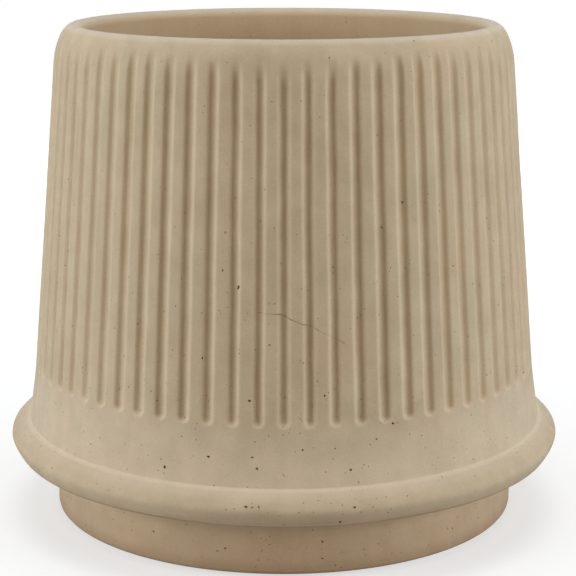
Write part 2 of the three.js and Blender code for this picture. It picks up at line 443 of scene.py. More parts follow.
# Pin holes in loose patches, drawn 0.7 mm wide to show, and closer in the clusters that catch the
# eye at the front: degrees round from the front, and mm above the ground
SPECK_CLUSTERS = (
    (-6.0, 60.1), (8.5, 55.5), (-6.3, 42.2), (26.8, 22.9), (-10.4, 84.1), (7.9, 90.7), (16.9, 84.9),
    (-13.6, 13.7), (17.7, 241.2), (18.9, 230.2), (-2.2, 218.0), (21.2, 75.3), (-36.8, 152.2),
    (-33.6, 171.1), (13.5, 142.2), (-0.4, 152.6), (-26.5, 122.0), (-33.0, 131.3),
)
CLUSTER_CORE, CLUSTER_REACH = 1.5, 5.0
CLUSTER_CHANCE = 0.7
UNROLL_RADIUS = 120.0
front_y = add_node(look, "ShaderNodeMath", (axes["Y"], -1.0), operation="MULTIPLY")
bearing = add_node(look, "ShaderNodeMath", (axes["X"], front_y), operation="ARCTAN2")
across = add_node(look, "ShaderNodeMath", (bearing, UNROLL_RADIUS * MM), operation="MULTIPLY")
unrolled = add_node(look, "ShaderNodeCombineXYZ", (across, height))
unrolled = add_node(look, "ShaderNodeVectorMath", (unrolled, wobble), operation="ADD")
unrolled = add_node(look, "ShaderNodeVectorMath", (unrolled, (1, 1, 0)), operation="MULTIPLY")


def spot(degrees, level, core, reach, strength):
    """How much of a spot on the unrolled wall is here: all of it in its core, none past its reach."""
    middle = (math.radians(degrees) * UNROLL_RADIUS * MM, level * MM, 0)
    away = add_node(look, "ShaderNodeVectorMath", (unrolled, middle), out="Value", operation="DISTANCE")
    return add_node(
        look, "ShaderNodeMapRange",
        {"Value": away, "From Min": core * MM, "From Max": reach * MM, "To Min": strength, "To Max": 0.0},
    )


specks = add_node(
    look, "ShaderNodeMapRange",
    {
        "Value": speck_cells["Distance"],
        "From Min": SPECK_CORE / SPECK_SPACING,
        "From Max": SPECK_EDGE / SPECK_SPACING,
        "To Min": 0.7,
        "To Max": 0.0,
    },
)
speck_chance = add_node(look, "ShaderNodeSeparateColor", (speck_cells["Color"],), out=1)
patches = add_node(
    look, "ShaderNodeTexNoise", {"Vector": place, "Scale": 1 / (SPECK_PATCH * MM), "Detail": 1.0},
)
patch_chance = add_node(
    look, "ShaderNodeMapRange",
    {"Value": patches, "From Min": 0.42, "From Max": 0.68, "To Min": 0.05, "To Max": 0.34},
)
low_chance = add_node(
    look, "ShaderNodeMapRange",
    {"Value": height, "From Min": 60 * MM, "From Max": 190 * MM, "To Min": 2.0, "To Max": 0.5},
)
patch_chance = add_node(look, "ShaderNodeMath", (patch_chance, low_chance), operation="MULTIPLY")
for degrees, level in SPECK_CLUSTERS:
    cluster = spot(degrees, level, CLUSTER_CORE, CLUSTER_REACH, CLUSTER_CHANCE)
    patch_chance = add_node(look, "ShaderNodeMath", (patch_chance, cluster), operation="MAXIMUM")
speck_there = add_node(look, "ShaderNodeMath", (speck_chance, patch_chance), operation="LESS_THAN")
specks = add_node(look, "ShaderNodeMath", (specks, speck_there), operation="MULTIPLY")
holes = add_node(look, "ShaderNodeMath", (holes, specks), operation="MAXIMUM")

# The larger holes that catch the eye at the front: degrees round from the front, mm above the
# ground, and radius in mm
LARGE_HOLES = (
    (-9.6, 138.8, 0.6), (-9.7, 137.9, 0.6), (-12.9, 146.0, 0.5), (-7.0, 88.0, 0.7),
    (26.8, 174.1, 0.6), (21.6, 163.7, 0.5), (8.3, 90.5, 0.6), (22.8, 75.0, 0.6),
    (-15.2, 61.7, 0.6), (-6.3, 62.6, 0.5), (-5.4, 57.6, 0.7), (3.7, 66.1, 0.5),
    (13.0, 42.1, 0.6), (10.5, 34.8, 0.7), (8.6, 18.0, 0.6), (-13.4, 13.9, 0.6),
    (-7.0, 42.9, 0.45), (-5.9, 42.8, 0.5), (-4.6, 43.1, 0.45), (10.2, 238.7, 0.5),
)
for degrees, level, radius in LARGE_HOLES:
    hole = spot(degrees, level, 0.55 * radius, radius, 1.0)
    holes = add_node(look, "ShaderNodeMath", (holes, hole), operation="MAXIMUM")
deep_share = add_node(look, "ShaderNodeMapRange", {"Value": holes, "From Min": 0.75, "To Max": 0.8})
hole_colour = add_node(
    look, "ShaderNodeMix", {0: deep_share, 6: linear("#6E573E"), 7: linear("#33271A")},
    out=2, data_type="RGBA",
)

# Rusty streaks that water has left in some of the flutes
streak_place = add_node(look, "ShaderNodeVectorMath", (unrolled, (1, 0.25, 1)), operation="MULTIPLY")
streaks = add_node(
    look, "ShaderNodeTexNoise", {"Vector": streak_place, "Scale": 1 / (STREAK_SIZE * MM), "Detail": 2.0},
)
streaks = add_node(
    look, "ShaderNodeMapRange", {"Value": streaks, "From Min": 0.52, "From Max": 0.7, "To Max": 0.25},
)
streaks = add_node(look, "ShaderNodeMath", (streaks, bottom), operation="MULTIPLY")

# A broken shrinkage hairline that drops from left to right over the lands at the front and grows
# faint at its end, drawn 0.4 mm wide to show
HAIRLINE_FROM, HAIRLINE_TO = -6.0, 13.0
HAIRLINE_LOW, HAIRLINE_HIGH = 113.0, 127.4
HAIRLINE_CORE, HAIRLINE_EDGE = 0.1, 0.32
HAIRLINE_BENDS = (
    (0.14, 0.985), (0.28, 0.96), (0.32, 0.9), (0.42, 0.78), (0.52, 0.66), (0.62, 0.58), (0.7, 0.45),
)
along = add_node(
    look, "ShaderNodeMapRange",
    {"Value": bearing, "From Min": math.radians(HAIRLINE_FROM), "From Max": math.radians(HAIRLINE_TO)},
)
course = add_node(look, "ShaderNodeFloatCurve", {"Value": along}, out=None)
drop = course.mapping.curves[0]
drop.points[0].location = (0.0, 1.0)
drop.points[1].location = (1.0, 0.0)
for point in HAIRLINE_BENDS:
    drop.points.new(*point)
course.mapping.update()
course_height = add_node(
    look, "ShaderNodeMapRange",
    {"Value": course.outputs[0], "To Min": HAIRLINE_LOW * MM, "To Max": HAIRLINE_HIGH * MM},
)
off_line = add_node(look, "ShaderNodeMath", (height, course_height), operation="SUBTRACT")
off_line = add_node(look, "ShaderNodeMath", (off_line,), operation="ABSOLUTE")
hairline = add_node(
    look, "ShaderNodeMapRange",
    {
        "Value": off_line,
        "From Min": HAIRLINE_CORE * MM,
        "From Max": HAIRLINE_EDGE * MM,
        "To Min": 0.75,
        "To Max": 0.0,
    },
)
inside_ends = add_node(look, "ShaderNodeMath", (along, 0.5, 0.48), operation="COMPARE")
faint_end = add_node(
    look, "ShaderNodeMapRange",
    {"Value": along, "From Min": 0.62, "From Max": 0.8, "To Min": 1.0, "To Max": 0.6},
)
breaks = add_node(
    look, "ShaderNodeTexNoise", {"Vector": place, "Scale": 1 / (BREAK_SIZE * MM), "Detail": 1.0},
)
breaks = add_node(
    look, "ShaderNodeMapRange", {"Value": breaks, "From Min": 0.38, "From Max": 0.58, "To Min": 0.3},
)
for part in (inside_ends, faint_end, breaks):
    hairline = add_node(look, "ShaderNodeMath", (hairline, part), operation="MULTIPLY")

marked = sanded
for share, colour in (
    (streaks, linear("#AC876A")), (holes, hole_colour), (hairline, linear("#6B5A40")),
):
    marked = add_node(look, "ShaderNodeMix", {0: share, 6: marked, 7: colour}, out=2, data_type="RGBA")

# Relief in mm: sandy tooth, and the holes and the hairline sunk into it
relief = add_node(look, "ShaderNodeMath", (sand, 0.05), operation="MULTIPLY")
for mark, rise in ((holes, -0.5), (hairline, -0.2)):
    relief = add_node(look, "ShaderNodeMath", (mark, rise, relief), operation="MULTIPLY_ADD")
bumps = add_node(look, "ShaderNodeBump", {"Height": relief, "Distance": MM, "Strength": 0.8})
dryness = add_node(
    look, "ShaderNodeMapRange",
    {"Value": clouds, "From Min": 0.3, "From Max": 0.7, "To Min": 0.84, "To Max": 0.94},
)
surface = add_node(look, "ShaderNodeBsdfPrincipled", {
    "Base Color": marked, "Roughness": dryness, "Normal": bumps, "IOR": 1.5, "Specular IOR Level": 0.1,
})
add_node(look, "ShaderNodeOutputMaterial", {"Surface": surface}, out=None)


def new_tree(name, result, inputs):
    """A new Geometry Nodes tree with one result, and its inputs, named under their kinds."""
    tree = bpy.data.node_groups.new(name, "GeometryNodeTree")
    tree.interface.new_socket(result, in_out="OUTPUT", socket_type="NodeSocketGeometry")
    for kind, labels in inputs.items():
        for label in labels:
            tree.interface.new_socket(label, in_out="INPUT", socket_type=f"NodeSocket{kind}")
    return tree, add_node(tree, "NodeGroupInput", out=None).outputs


def end_tree(tree, shape, material):
    """Ends a tree: its instances become real, and the shape goes out in its material."""
    real = add_node(tree, "GeometryNodeRealizeInstances", (shape,))
    dressed = add_node(tree, "GeometryNodeSetMaterial", {"Geometry": real, "Material": material})
    add_node(tree, "NodeGroupOutput", (dressed,), out=None)


def grow(name, base, tree, sizes):
    """The plain mesh that a tree makes from a base mesh and its named sizes, as a new object."""
    made = put(name, base)
    modifier = made.modifiers.new(tree.name, "NODES")
    modifier.node_group = tree
    for item in tree.interface.items_tree:
        if item.name in sizes:
            modifier[item.identifier] = sizes[item.name]
    mesh = plain_mesh(made)
    made.modifiers.clear()
    made.data = mesh
    mesh.name = name
    return made


# The casting: the outline is carried round the axis in columns that crowd into each flute, and
# every flute is then pressed in along the wall
casting, given = new_tree("fluted_casting", "Casting", {
    "Geometry": ("Outline",),
    "Int": ("Flute Count", "Columns per Flute"),
    "Float": (
        "Flute Depth", "Flute Half Width", "Flute Fullness", "Flute End", "Shoulder Share",
        "Run-out Start", "Run-out Length", "Run-out Rise", "Run-out Round", "Wander", "Cone Radius",
        "Wall Taper", "Ripple Height", "Ripple Size", "Flat Foot",
    ),
    "Material": ("Cement",),
})
section = add_node(casting, "GeometryNodeMeshToCurve", (given["Outline"],))
columns = add_node(
    casting, "ShaderNodeMath", (given["Flute Count"], given["Columns per Flute"]), operation="MULTIPLY",
)
circle = add_node(casting, "GeometryNodeCurvePrimitiveCircle", {"Resolution": columns})
stores = []
for curve, kind, label, source in (
    (section, "VECTOR", "Place", "GeometryNodeInputPosition"),
    (circle, "FLOAT", "Column", "GeometryNodeInputIndex"),
):
    store = add_node(casting, "GeometryNodeCaptureAttribute", (curve,), out=None)
    store.capture_items.new(kind, label)
    casting.links.new(add_node(casting, source), store.inputs[1])
    stores.append(store.outputs)
(section, section_place), (circle, column) = (store[:2] for store in stores)
turned = add_node(casting, "GeometryNodeCurveToMesh", {"Curve": circle, "Profile Curve": section})

at = add_node(casting, "ShaderNodeSeparateXYZ", (section_place,), out=None).outputs
at_radius, at_height = at["X"], at["Z"]
step = add_node(casting, "ShaderNodeMath", (column, given["Columns per Flute"]), operation="DIVIDE")
flute = add_node(casting, "ShaderNodeMath", (step,), operation="FLOOR")
share = add_node(casting, "ShaderNodeMath", (step,), operation="FRACT")
side = add_node(casting, "ShaderNodeMath", (share, 0.5), operation="SUBTRACT")
from_middle = add_node(casting, "ShaderNodeMath", (side,), operation="ABSOLUTE")
from_middle = add_node(casting, "ShaderNodeMath", (from_middle, 2.0), operation="MULTIPLY")
crowd = add_node(casting, "ShaderNodeFloatCurve", {"Value": from_middle}, out=None)
for point in ((0.25, 0.235), (0.5, 0.43), (0.75, 0.62), (0.875, 0.74)):
    crowd.mapping.curves[0].points.new(*point)
crowd.mapping.update()
half_side = add_node(casting, "ShaderNodeMath", (side,), operation="SIGN")
half_side = add_node(casting, "ShaderNodeMath", (half_side, 0.5), operation="MULTIPLY")
share = add_node(casting, "ShaderNodeMath", (crowd.outputs[0], half_side), operation="MULTIPLY")
pitch = add_node(casting, "ShaderNodeMath", (2 * math.pi, given["Flute Count"]), operation="DIVIDE")
angle = add_node(casting, "ShaderNodeMath", (flute, share), operation="ADD")
angle = add_node(casting, "ShaderNodeMath", (angle, pitch, -math.pi / 2), operation="MULTIPLY_ADD")

# Where this point would be on a plain turned pot
round_x = add_node(casting, "ShaderNodeMath", (angle,), operation="COSINE")
round_y = add_node(casting, "ShaderNodeMath", (angle,), operation="SINE")
outward = add_node(casting, "ShaderNodeCombineXYZ", (round_x, round_y))
upward = add_node(casting, "ShaderNodeCombineXYZ", {2: at_height})
plain = add_node(casting, "ShaderNodeVectorMath", {0: outward, "Scale": at_radius}, operation="SCALE")
plain = add_node(casting, "ShaderNodeVectorMath", (plain, upward), operation="ADD")

# How far this point is from the middle line of its flute, which wanders a little, as a rib made by
# hand does, and round the flute's lower end as well
WANDER_SIZE = 16.0
wander = add_node(
    casting, "ShaderNodeTexNoise", {"Vector": plain, "Scale": 1 / (WANDER_SIZE * MM), "Detail": 1.0},
)
wander = add_node(casting, "ShaderNodeMath", (wander, 0.5), operation="SUBTRACT")
cone = add_node(casting, "ShaderNodeMath", (at_height, given["Wall Taper"]), operation="MULTIPLY")
cone = add_node(casting, "ShaderNodeMath", (given["Cone Radius"], cone), operation="SUBTRACT")
aside = add_node(casting, "ShaderNodeMath", (share, pitch), operation="MULTIPLY")
aside = add_node(casting, "ShaderNodeMath", (aside, cone), operation="MULTIPLY")
aside = add_node(casting, "ShaderNodeMath", (wander, given["Wander"], aside), operation="MULTIPLY_ADD")
below = add_node(
    casting, "ShaderNodeMath", (given["Flute End"], given["Flute Half Width"]), operation="ADD",
)
below = add_node(casting, "ShaderNodeMath", (below, at_height), operation="SUBTRACT")
below = add_node(casting, "ShaderNodeMath", (below, 0.0), operation="MAXIMUM")
offset = add_node(casting, "ShaderNodeCombineXYZ", (aside, below))
offset = add_node(casting, "ShaderNodeVectorMath", (offset,), out="Value", operation="LENGTH")

# The section of a flute: round in the bottom and rolling over softly into the lands
section_there = offset
for operation, term in (
    ("DIVIDE", given["Flute Half Width"]), ("POWER", given["Flute Fullness"]), ("MULTIPLY", -1.0),
):
    section_there = add_node(casting, "ShaderNodeMath", (section_there, term), operation=operation)
section_there = add_node(casting, "ShaderNodeMath", (section_there,), operation="EXPONENT")

# Its depth: towards the top it follows the shoulder part of the way and rises, sooner or later from
# flute to flute and in a slow wave, until it has run out
EARLY_SHARE = 0.12
WAVE_COUNT = 5.0
WAVE_SHARE = 0.22
fallen = cone
for operation, term in (
    ("SUBTRACT", at_radius), ("MAXIMUM", 0.0), ("MULTIPLY", given["Shoulder Share"]),
):
    fallen = add_node(casting, "ShaderNodeMath", (fallen, term), operation=operation)
early = add_node(
    casting, "FunctionNodeRandomValue", {2: -EARLY_SHARE, 3: EARLY_SHARE, "ID": flute, "Seed": 4},
    out=1, data_type="FLOAT",
)
run_out = at_height
for operation, term in (
    ("SUBTRACT", given["Run-out Start"]), ("DIVIDE", given["Run-out Length"]), ("ADD", early),
):
    run_out = add_node(casting, "ShaderNodeMath", (run_out, term), operation=operation)
wave = add_node(
    casting, "ShaderNodeMath", (angle, WAVE_COUNT, WAVE_COUNT * math.pi / 2), operation="MULTIPLY_ADD",
)
wave = add_node(casting, "ShaderNodeMath", (wave,), operation="COSINE")
run_out = add_node(casting, "ShaderNodeMath", (wave, WAVE_SHARE, run_out), operation="MULTIPLY_ADD")
rise = add_node(
    casting, "ShaderNodeMapRange", {"Value": run_out, "To Max": given["Run-out Rise"]},
    interpolation_type="SMOOTHSTEP",
)
depth = add_node(casting, "ShaderNodeMath", (given["Flute Depth"], fallen), operation="SUBTRACT")
depth = add_node(casting, "ShaderNodeMath", (depth, rise), operation="SUBTRACT")
depth = add_node(casting, "ShaderNodeMath", (depth, 0.0, given["Run-out Round"]), operation="SMOOTH_MAX")
hollow = add_node(casting, "ShaderNodeMath", (section_there, depth), operation="MULTIPLY")
bottom_there = add_node(casting, "ShaderNodeMath", (hollow, given["Flute Depth"]), operation="DIVIDE")

# Its arrises, which the cement material paints paler as a painted highlight
ARRIS_OFFSET = 2.7
ARRIS_SPREAD = 0.8
fade = add_node(casting, "ShaderNodeMath", (depth, given["Flute Depth"]), operation="DIVIDE")
arris_there = offset
for operation, term in (
    ("SUBTRACT", ARRIS_OFFSET * MM), ("DIVIDE", ARRIS_SPREAD * MM), ("POWER", 2.0), ("MULTIPLY", -1.0),
):
    arris_there = add_node(casting, "ShaderNodeMath", (arris_there, term), operation=operation)
arris_there = add_node(casting, "ShaderNodeMath", (arris_there,), operation="EXPONENT")
arris_there = add_node(casting, "ShaderNodeMath", (arris_there, fade), operation="MULTIPLY")

# Slow ripples of a fraction of a millimetre, as a mould leaves them, but none under the foot
ripple_scale = add_node(casting, "ShaderNodeMath", (1.0, given["Ripple Size"]), operation="DIVIDE")
rippled = add_node(casting, "ShaderNodeMath", (at_height, given["Flat Foot"]), operation="GREATER_THAN")
ripple = add_node(
    casting, "ShaderNodeTexNoise", {"Vector": plain, "Scale": ripple_scale, "Detail": 1.0},
)
for operation, term in (("SUBTRACT", 0.5), ("MULTIPLY", given["Ripple Height"]), ("MULTIPLY", rippled)):
    ripple = add_node(casting, "ShaderNodeMath", (ripple, term), operation=operation)
new_radius = add_node(casting, "ShaderNodeMath", (at_radius, hollow), operation="SUBTRACT")
new_radius = add_node(casting, "ShaderNodeMath", (new_radius, ripple), operation="ADD")
formed = add_node(casting, "ShaderNodeVectorMath", {0: outward, "Scale": new_radius}, operation="SCALE")
formed = add_node(casting, "ShaderNodeVectorMath", (formed, upward), operation="ADD")
cast = add_node(casting, "GeometryNodeSetPosition", {"Geometry": turned, "Position": formed})
for label, value in (("arris", arris_there), ("flute_bottom", bottom_there)):
    cast = add_node(
        casting, "GeometryNodeStoreNamedAttribute", {"Geometry": cast, "Name": label, "Value": value},
    )
cast = add_node(casting, "GeometryNodeSetShadeSmooth", (cast,))
end_tree(casting, cast, given["Cement"])

pot_body = grow("cast_pot", wire("pot_outline", pot_outline, closed=True), casting, {
    "Flute Count": FLUTE_COUNT,
    "Columns per Flute": 16,
    "Flute Depth": 1.97 * MM,
    "Flute Half Width": 2.2 * MM,
    "Flute Fullness": 3.0,
    "Flute End": (foot_lift + flute_end + 2.1) * MM,
    "Shoulder Share": 0.45,
    "Run-out Start": (foot_lift + 226) * MM,
    "Run-out Length": 13 * MM,
    "Run-out Rise": 1.15 * MM,
    "Run-out Round": 0.4 * MM,
    "Wander": 0.9 * MM,
    "Cone Radius": (wall_radius(0) + foot_lift * wall_taper) * MM,
    "Wall Taper": wall_taper,
    "Ripple Height": 0.5 * MM,
    "Ripple Size": 40 * MM,
    "Flat Foot": (foot_lift + 9) * MM,
    "Cement": cement,
})
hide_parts("pot_body")
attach(pot_body, "pot")


# Drain plug
# A moulded rubber stopper that stands in the drain hole from inside, for use indoors.
# Its wide head seals on the floor, and an upright tab with grip ridges lifts it out.

plug_low, plug_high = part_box("drain_plug")
plug_tip = plug_low.z / MM - foot_lift
head_under = floor_height + 0.3
head_top = head_under + 4.0
head_radius = plug_high.x / MM
tab_top = plug_high.z / MM - foot_lift
TAB_WIDTH = 15.0
TAB_THICKNESS = 4.0
TAB_ROUND = 0.9
STEM_GROOVES = (11.0, 14.5, 18.0)
GROOVE_DEPTH = 0.5


def stem_radius(height):
    """Radius of the stem, which follows the taper of the hole with a fine gap."""
    return drain_radius - 0.3 - (floor_height - height) / (floor_height - recess_height)


plug_outline = [
    (0, plug_tip),
    *turn(
        (stem_radius(plug_tip) - 1.5, plug_tip), (stem_radius(plug_tip) - 0.1, plug_tip),
        (stem_radius(plug_tip + 1.5), plug_tip + 1.5), 5,
    ),
    (stem_radius(plug_tip + 1.5), plug_tip + 1.5),
]
for groove in STEM_GROOVES:
    for away, sunk in ((-0.9, 0), (-0.6, GROOVE_DEPTH), (0.6, GROOVE_DEPTH), (0.9, 0)):
        plug_outline.append((stem_radius(groove + away) - sunk, groove + away))
plug_outline += [
    *turn(
        (stem_radius(head_under - 1.2), head_under - 1.2), (stem_radius(head_under), head_under),
        (stem_radius(head_under) + 1.0, head_under), 3,
    ),
    (stem_radius(head_under) + 1.0, head_under),
    *turn((head_radius - 0.4, head_under), (head_radius, head_under), (head_radius, head_under + 0.4), 3),
    *turn((head_radius, head_top - 1.8), (head_radius, head_top), (head_radius - 1.8, head_top), 6),
    (head_radius - 1.8, head_top),
    *turn(
        (head_radius - 3.4, head_top), (head_radius - 3.9, head_top),
        (head_radius - 4.2, head_top - 0.5), 3,
    ),
    *turn(
        (head_radius - 4.2, head_top - 0.5), (head_radius - 4.5, head_top - 0.9),
        (head_radius - 5.2, head_top - 0.9), 3,
    ),
    (head_radius - 5.2, head_top - 0.9),
    (0, head_top - 0.6),
]


WELD_DISTANCE = 0.00001
SHARP_ANGLE = math.radians(50)


def spun(name, outline, sides):
    """The closed solid that an open outline makes when it is turned about the axis."""
    turning = put(name, wire(name, outline, closed=False))
    screw = turning.modifiers.new("turned", "SCREW")
    screw.steps = sides
    screw.render_steps = sides
    screw.use_merge_vertices = True
    screw.merge_threshold = WELD_DISTANCE
    mesh = plain_mesh(turning)
    bpy.data.objects.remove(turning)
    shell = bmesh.new()
    shell.from_mesh(mesh)
    bmesh.ops.remove_doubles(shell, verts=shell.verts, dist=WELD_DISTANCE)
    bmesh.ops.recalc_face_normals(shell, faces=shell.faces)
    shell.to_mesh(mesh)
    shell.free()
    mesh.shade_smooth()
    mesh.set_sharp_from_angle(angle=SHARP_ANGLE)
    return mesh


# Moulded black rubber, satin: a faint grey bloom lies on it in patches, and the mould's fine
# spark texture keeps the shine broad.
BLOOM_SIZE = 5.0
SPARK_SIZE = 0.35
plug_rubber = bpy.data.materials.new("moulded_black_rubber")
look = bare_tree(plug_rubber)
place = add_node(look, "ShaderNodeTexCoord", out="Object")
bloom = add_node(look, "ShaderNodeTexNoise", {
    "Vector": place, "Scale": 1 / (BLOOM_SIZE * MM), "Detail": 4.0, "Roughness": 0.6,
})
spark = add_node(
    look, "ShaderNodeTexNoise", {"Vector": place, "Scale": 1 / (SPARK_SIZE * MM), "Detail": 1.0},
)
bloom_share = add_node(
    look, "ShaderNodeMapRange", {"Value": bloom, "From Min": 0.42, "From Max": 0.75, "To Max": 0.5},
)
bloomed = add_node(
    look, "ShaderNodeMix", {0: bloom_share, 6: linear("#343230"), 7: linear("#5A5751")},
    out=2, data_type="RGBA",
)
satin = add_node(
    look, "ShaderNodeMapRange",
    {"Value": bloom, "From Min": 0.3, "From Max": 0.75, "To Min": 0.48, "To Max": 0.72},
)
grit = add_node(look, "ShaderNodeBump", {"Height": spark, "Distance": 0.03 * MM, "Strength": 0.6})
surface = add_node(
    look, "ShaderNodeBsdfPrincipled",
    {"Base Color": bloomed, "Roughness": satin, "Normal": grit, "IOR": 1.52},
)
add_node(look, "ShaderNodeOutputMaterial", {"Surface": surface}, out=None)

# The tab is a flat tongue, drawn in at its root, with all its edges rounded
tongue = bpy.data.curves.new("plug_tongue", "CURVE")
tongue.dimensions = "2D"
tongue.fill_mode = "BOTH"
tongue.resolution_u = 10
tongue.extrude = (TAB_THICKNESS / 2 - TAB_ROUND) * MM
tongue.bevel_depth = TAB_ROUND * MM
tongue.bevel_resolution = 4
tongue.offset = -TAB_ROUND * MM
half_width = TAB_WIDTH / 2
tab_shape = (
    (-half_width + 0.6, head_top - 2.0), (-half_width + 2.0, head_top + 1.4),
    (-half_width, tab_top - half_width), (0, tab_top), (half_width, tab_top - half_width),
    (half_width - 2.0, head_top + 1.4), (half_width - 0.6, head_top - 2.0),
)
edge = tongue.splines.new("BEZIER")
edge.bezier_points.add(len(tab_shape) - 1)
edge.use_cyclic_u = True
for knot, (x, h) in zip(edge.bezier_points, tab_shape):
    knot.co = (x * MM, (h + foot_lift) * MM, 0)
    knot.handle_left_type = knot.handle_right_type = "AUTO"
for knot in (edge.bezier_points[0], edge.bezier_points[-1]):
    knot.handle_left_type = knot.handle_right_type = "VECTOR"
tongue_object = put("plug_tongue", tongue)
tab_mesh = plain_mesh(tongue_object)
bpy.data.objects.remove(tongue_object)
tab_mesh.transform(Matrix.Rotation(math.pi / 2, 4, "X"))

# Grip ridges: the same half-round bar three times up each face of the tab
ridges, given = new_tree("grip_ridges", "Ridges", {
    "Geometry": ("Ridge",),
    "Int": ("Ridge Count",),
    "Float": ("Lowest Ridge", "Ridge Spacing", "Face Distance"),
    "Material": ("Rubber",),
})
front = add_node(ridges, "ShaderNodeMath", (given["Face Distance"], -1.0), operation="MULTIPLY")
spacing = add_node(ridges, "ShaderNodeCombineXYZ", {2: given["Ridge Spacing"]})
places = add_node(ridges, "GeometryNodeJoinGeometry", out=None)
for face in (front, given["Face Distance"]):
    lowest = add_node(ridges, "ShaderNodeCombineXYZ", {1: face, 2: given["Lowest Ridge"]})
    points = add_node(
        ridges, "GeometryNodeMeshLine",
        {"Count": given["Ridge Count"], "Start Location": lowest, "Offset": spacing},
    )
    ridges.links.new(points, places.inputs[0])
bars = add_node(
    ridges, "GeometryNodeInstanceOnPoints", {"Points": places.outputs[0], "Instance": given["Ridge"]},
)
end_tree(ridges, bars, given["Rubber"])

RIDGE_LENGTH = 8.0
RIDGE_RADIUS = 0.5
stretch = (RIDGE_LENGTH / 2 - RIDGE_RADIUS) * MM
ridge = bmesh.new()
bmesh.ops.create_uvsphere(ridge, u_segments=12, v_segments=8, radius=RIDGE_RADIUS * MM)
for corner in ridge.verts:
    corner.co = (corner.co.z, corner.co.y, corner.co.x)
    if abs(corner.co.x) > 1e-7:
        corner.co.x += math.copysign(stretch, corner.co.x)
bmesh.ops.recalc_face_normals(ridge, faces=ridge.faces)
ridge_mesh = bpy.data.meshes.new("grip_ridge")
ridge.to_mesh(ridge_mesh)
ridge.free()
ridge_mesh.shade_smooth()
grips = grow("plug_grips", ridge_mesh, ridges, {
    "Ridge Count": 3,
    "Lowest Ridge": (foot_lift + head_top + 4.6) * MM,
    "Ridge Spacing": 2.2 * MM,
    "Face Distance": (TAB_THICKNESS / 2 - 0.15) * MM,
    "Rubber": plug_rubber,
})

plug_parts = bmesh.new()
for part in (spun("plug_stopper", plug_outline, 72), tab_mesh, grips.data):
    plug_parts.from_mesh(part)
bpy.data.objects.remove(grips)
plug_mesh = bpy.data.meshes.new("rubber_plug")
plug_parts.to_mesh(plug_mesh)
plug_parts.free()
plug_mesh.shade_smooth()
plug_mesh.set_sharp_from_angle(angle=SHARP_ANGLE)
plug_mesh.materials.clear()
plug_mesh.materials.append(plug_rubber)
drain_plug = put("rubber_plug", plug_mesh)
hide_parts("drain_plug")
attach(drain_plug, "plug")


# Foot pads
# Four die-moulded rubber discs, stuck under the foot on a film of adhesive. They keep the pot
# off the ground so that water can run out, and have ridged undersides so that it stays put.

pad_low, pad_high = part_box("foot_pad_1")
pad_radius = (pad_high.x - pad_low.x) / 2 / MM
pad_thickness = pad_high.z / MM
pad_centre = (pad_low + pad_high) / 2
pad_ring_radius = math.hypot(pad_centre.x, pad_centre.y)
PAD_RIDGES = (1.4, 2.8, 4.2)
PAD_GROOVE = 0.35

pad_outline = [(0, 0.3), (0.7, 0.3)]
for ridge_radius in PAD_RIDGES:
    for away, depth in ((-0.5, 0.0), (0.3, 0.0), (0.5, PAD_GROOVE), (0.8, PAD_GROOVE)):
        pad_outline.append((ridge_radius + away, depth))
pad_outline += [
    (5.1, 0.0),
    *turn((pad_radius - 0.7, 0), (pad_radius, 0), (pad_radius, 0.7), 4),
    (pad_radius, 0.7),
    *turn(
        (pad_radius, pad_thickness - 0.3), (pad_radius, pad_thickness),
        (pad_radius - 0.3, pad_thickness), 2,
    ),
    (pad_radius - 0.3, pad_thickness),
    (0, pad_thickness),
]
pad_mesh = spun("foot_pad", [(r, h - foot_lift) for r, h in pad_outline], 48)

# Grey rubber, matt: even and dusty, with a grain as fine as flour, drawn coarser to show.
DUST_SIZE = 3.0
FLOUR_SIZE = 0.4
pad_rubber = bpy.data.materials.new("matt_grey_rubber")
look = bare_tree(pad_rubber)
place = add_node(look, "ShaderNodeTexCoord", out="Object")
dust = add_node(look, "ShaderNodeTexNoise", {
    "Vector": place, "Scale": 1 / (DUST_SIZE * MM), "Detail": 4.0, "Roughness": 0.65,
})
flour = add_node(
    look, "ShaderNodeTexNoise", {"Vector": place, "Scale": 1 / (FLOUR_SIZE * MM), "Detail": 2.0},
)
dust_share = add_node(
    look, "ShaderNodeMapRange", {"Value": dust, "From Min": 0.4, "From Max": 0.7, "To Max": 0.6},
)
dusted = add_node(
    look, "ShaderNodeMix", {0: dust_share, 6: linear("#46433F"), 7: linear("#6E685E")},
    out=2, data_type="RGBA",
)
dull = add_node(
    look, "ShaderNodeMapRange",
    {"Value": dust, "From Min": 0.3, "From Max": 0.7, "To Min": 0.72, "To Max": 0.9},
)
grain = add_node(look, "ShaderNodeBump", {"Height": flour, "Distance": 0.04 * MM, "Strength": 0.6})
surface = add_node(look, "ShaderNodeBsdfPrincipled", {
    "Base Color": dusted, "Roughness": dull, "Normal": grain, "IOR": 1.52, "Specular IOR Level": 0.4,
})
add_node(look, "ShaderNodeOutputMaterial", {"Surface": surface}, out=None)

pad_ring, given = new_tree("pads_round_the_foot", "Pads", {
    "Geometry": ("Pad",), "Int": ("Pad Count",), "Float": ("Ring Radius",), "Material": ("Rubber",),
})
spots = add_node(
    pad_ring, "GeometryNodeMeshCircle", {"Vertices": given["Pad Count"], "Radius": given["Ring Radius"]},
)
half_step = add_node(pad_ring, "ShaderNodeMath", (math.pi, given["Pad Count"]), operation="DIVIDE")
half_turn = add_node(pad_ring, "ShaderNodeCombineXYZ", {2: half_step})
spots = add_node(pad_ring, "GeometryNodeTransform", {"Geometry": spots, "Rotation": half_turn})
pads = add_node(pad_ring, "GeometryNodeInstanceOnPoints", {"Points": spots, "Instance": given["Pad"]})
end_tree(pad_ring, pads, given["Rubber"])

